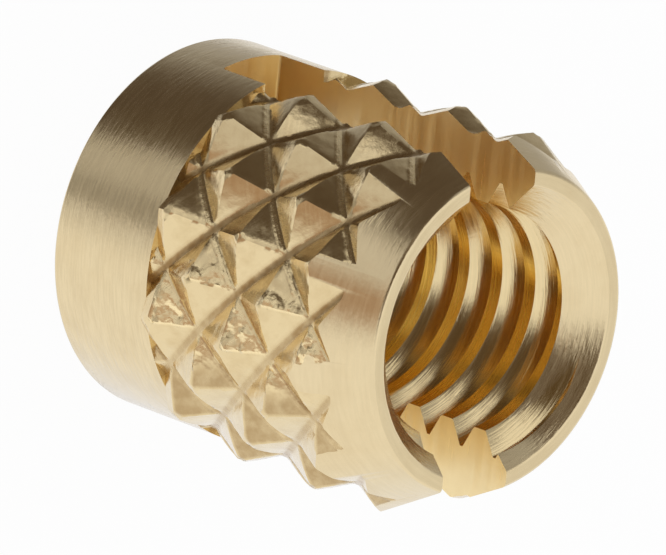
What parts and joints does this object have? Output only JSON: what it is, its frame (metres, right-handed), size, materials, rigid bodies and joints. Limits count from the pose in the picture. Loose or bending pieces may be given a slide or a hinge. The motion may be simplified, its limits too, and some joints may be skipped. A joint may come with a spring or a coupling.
{
  "type": "threaded insert",
  "caption": "Slotted expansion insert in brass with a plain collar, diamond knurling, a conical nose and a threaded bore.",
  "frame": {"origin": "centre of the collar's end face, on the insert's axis", "axes": "+Z along the axis, from the collar to the slotted nose; the saw cut runs along X"},
  "size_m": [0.0043, 0.0044, 0.0047],
  "materials": {
    "brass": "bright turned brass"
  },
  "bodies": {
    "root": {"insert_body": "brass"}
  },
  "joints": []
}
